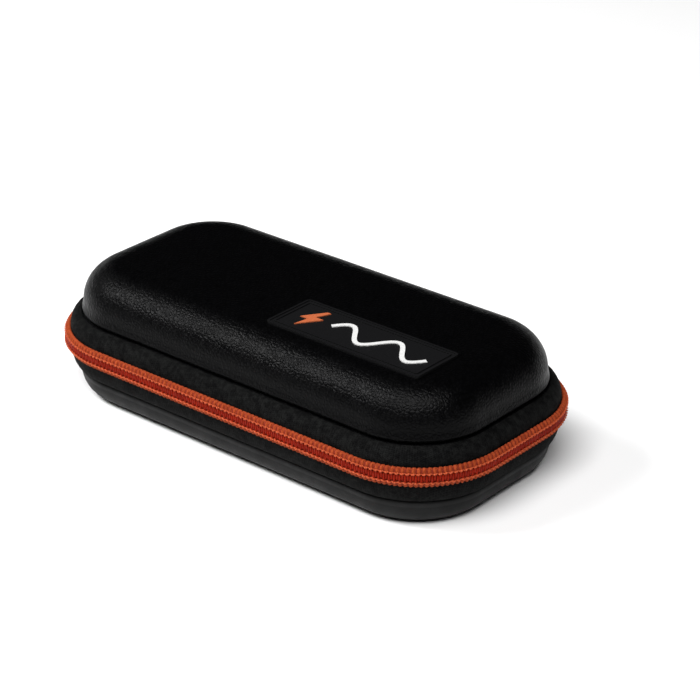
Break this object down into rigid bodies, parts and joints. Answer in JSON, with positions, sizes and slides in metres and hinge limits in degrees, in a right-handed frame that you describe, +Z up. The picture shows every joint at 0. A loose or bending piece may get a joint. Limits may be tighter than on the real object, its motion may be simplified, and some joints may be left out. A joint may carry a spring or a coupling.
{
  "type": "hard case for a circuit breaker finder",
  "caption": "Zip-up moulded hard case for a circuit breaker finder, with a hinged domed lid, coil zip, slider and pull, elastic strap and net pocket.",
  "frame": {"origin": "middle of the flat underside, on the surface that the case rests on", "axes": "+X along the length, +Y from the front to the hinge, +Z up out of the lid"},
  "size_m": [0.165, 0.0838, 0.0432],
  "materials": {
    "lid_shell": "pebbled polyurethane leather over moulded foam, semi-gloss",
    "base_shell": "fine-grained polyurethane cloth over moulded foam, matte",
    "lining": "brushed knit lining",
    "binding": "woven edge tape",
    "zip_tape": "woven zip tape",
    "zip_coil": "dyed polyester coil, semi-gloss",
    "zip_stop": "moulded",
    "elastic": "ribbed elastic",
    "thread": "sewing thread",
    "net": "knitted net",
    "label": "moulded soft rubber, matte",
    "label_orange": "moulded soft rubber, matte",
    "label_white": "moulded soft rubber, matte",
    "zip_metal": "black enamelled zinc alloy",
    "pull_rubber": "moulded rubber, matte"
  },
  "bodies": {
    "base": {"base_shell": "base_shell", "base_lining": "lining", "base_edge_binding": "binding", "base_zip_tape": "zip_tape", "base_zip_coil": "zip_coil", "base_top_stop": "zip_stop", "zip_bottom_stop": "zip_stop", "elastic_strap": "elastic", "strap_bar_tacks": "thread", "hinge_strip": "binding", "hinge_lining": "lining"},
    "lid": {"lid_shell": "lid_shell", "lid_lining": "lining", "lid_edge_binding": "binding", "lid_zip_tape": "zip_tape", "lid_zip_coil": "zip_coil", "lid_top_stop": "zip_stop", "mesh_pocket": "net", "mesh_pocket_hem": "elastic", "label_plate": "label", "label_border": "label", "label_emblem": "label_orange", "label_wave": "label_white"},
    "slider": {"slider_body": "zip_metal", "slider_bail": "zip_metal"},
    "pull": {"pull_tab": "zip_metal", "pull_grip": "pull_rubber"}
  },
  "joints": [
    {"name": "lid_hinge", "type": "hinge", "parent": "base", "child": "lid", "pos_m": [0, 0.04165, 0.019], "axis": [-1, 0, 0], "range_deg": [0, 165], "deforming": ["hinge_strip", "hinge_lining", "lid_zip_coil"]},
    {"name": "slider_travel", "type": "hinge", "parent": "base", "child": "slider", "pos_m": [-0.05255, 0.0134, 0.019], "axis": [0, 0, 1], "range_deg": [0, 34], "deforming": ["base_zip_coil", "lid_zip_coil"]},
    {"name": "pull_swing", "type": "hinge", "parent": "slider", "child": "pull", "pos_m": [-0.07814, 0.03487, 0.019], "axis": [0.6428, 0.766, 0], "range_deg": [-5, 165]}
  ]
}
